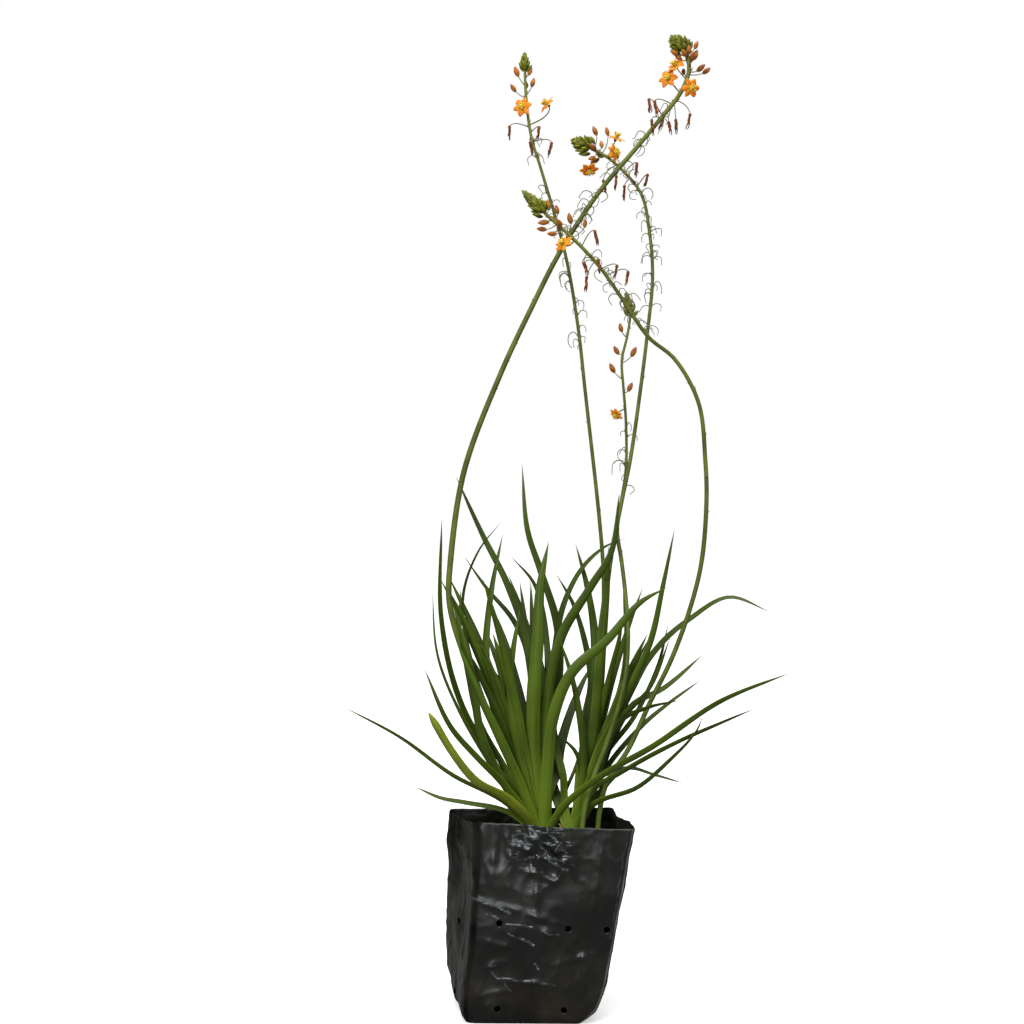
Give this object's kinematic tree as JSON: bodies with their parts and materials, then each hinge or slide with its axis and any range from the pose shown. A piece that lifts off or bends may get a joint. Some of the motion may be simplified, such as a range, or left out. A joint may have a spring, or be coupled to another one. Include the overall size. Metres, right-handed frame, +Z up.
{
  "type": "potted stalked bulbine",
  "caption": "Clump-forming bulbine with narrow fleshy leaves and tall curving flower stalks with orange and yellow blooms, growing in a black film nursery bag of potting soil.",
  "frame": {"origin": "on the ground plane, under the middle of the bag", "axes": "+Z up along the plant, -Y towards the side seen in front, +X to that side's right"},
  "size_m": [0.315, 0.1685, 0.7056],
  "materials": {
    "film": "satin",
    "soil": "matte",
    "leaf": "satin",
    "stalk": "satin",
    "bloom": "matte"
  },
  "bodies": {
    "root": {"nursery_bag": "film", "potting_soil": "soil", "leafy_shoot_left": "leaf", "leafy_shoot_right": "leaf", "flower_stalk_tall": "stalk", "flower_stalk_slender": "stalk", "flower_stalk_hooked": "stalk", "flower_stalk_arching": "stalk", "flower_stalk_young": "stalk", "bloom_tall_1": "bloom", "bloom_tall_2": "bloom", "bloom_tall_3": "bloom", "bloom_slender_1": "bloom", "bloom_slender_2": "bloom", "bloom_hooked_1": "bloom", "bloom_hooked_2": "bloom", "bloom_hooked_3": "bloom", "bloom_arching_1": "bloom", "bloom_young_1": "bloom"}
  },
  "joints": []
}
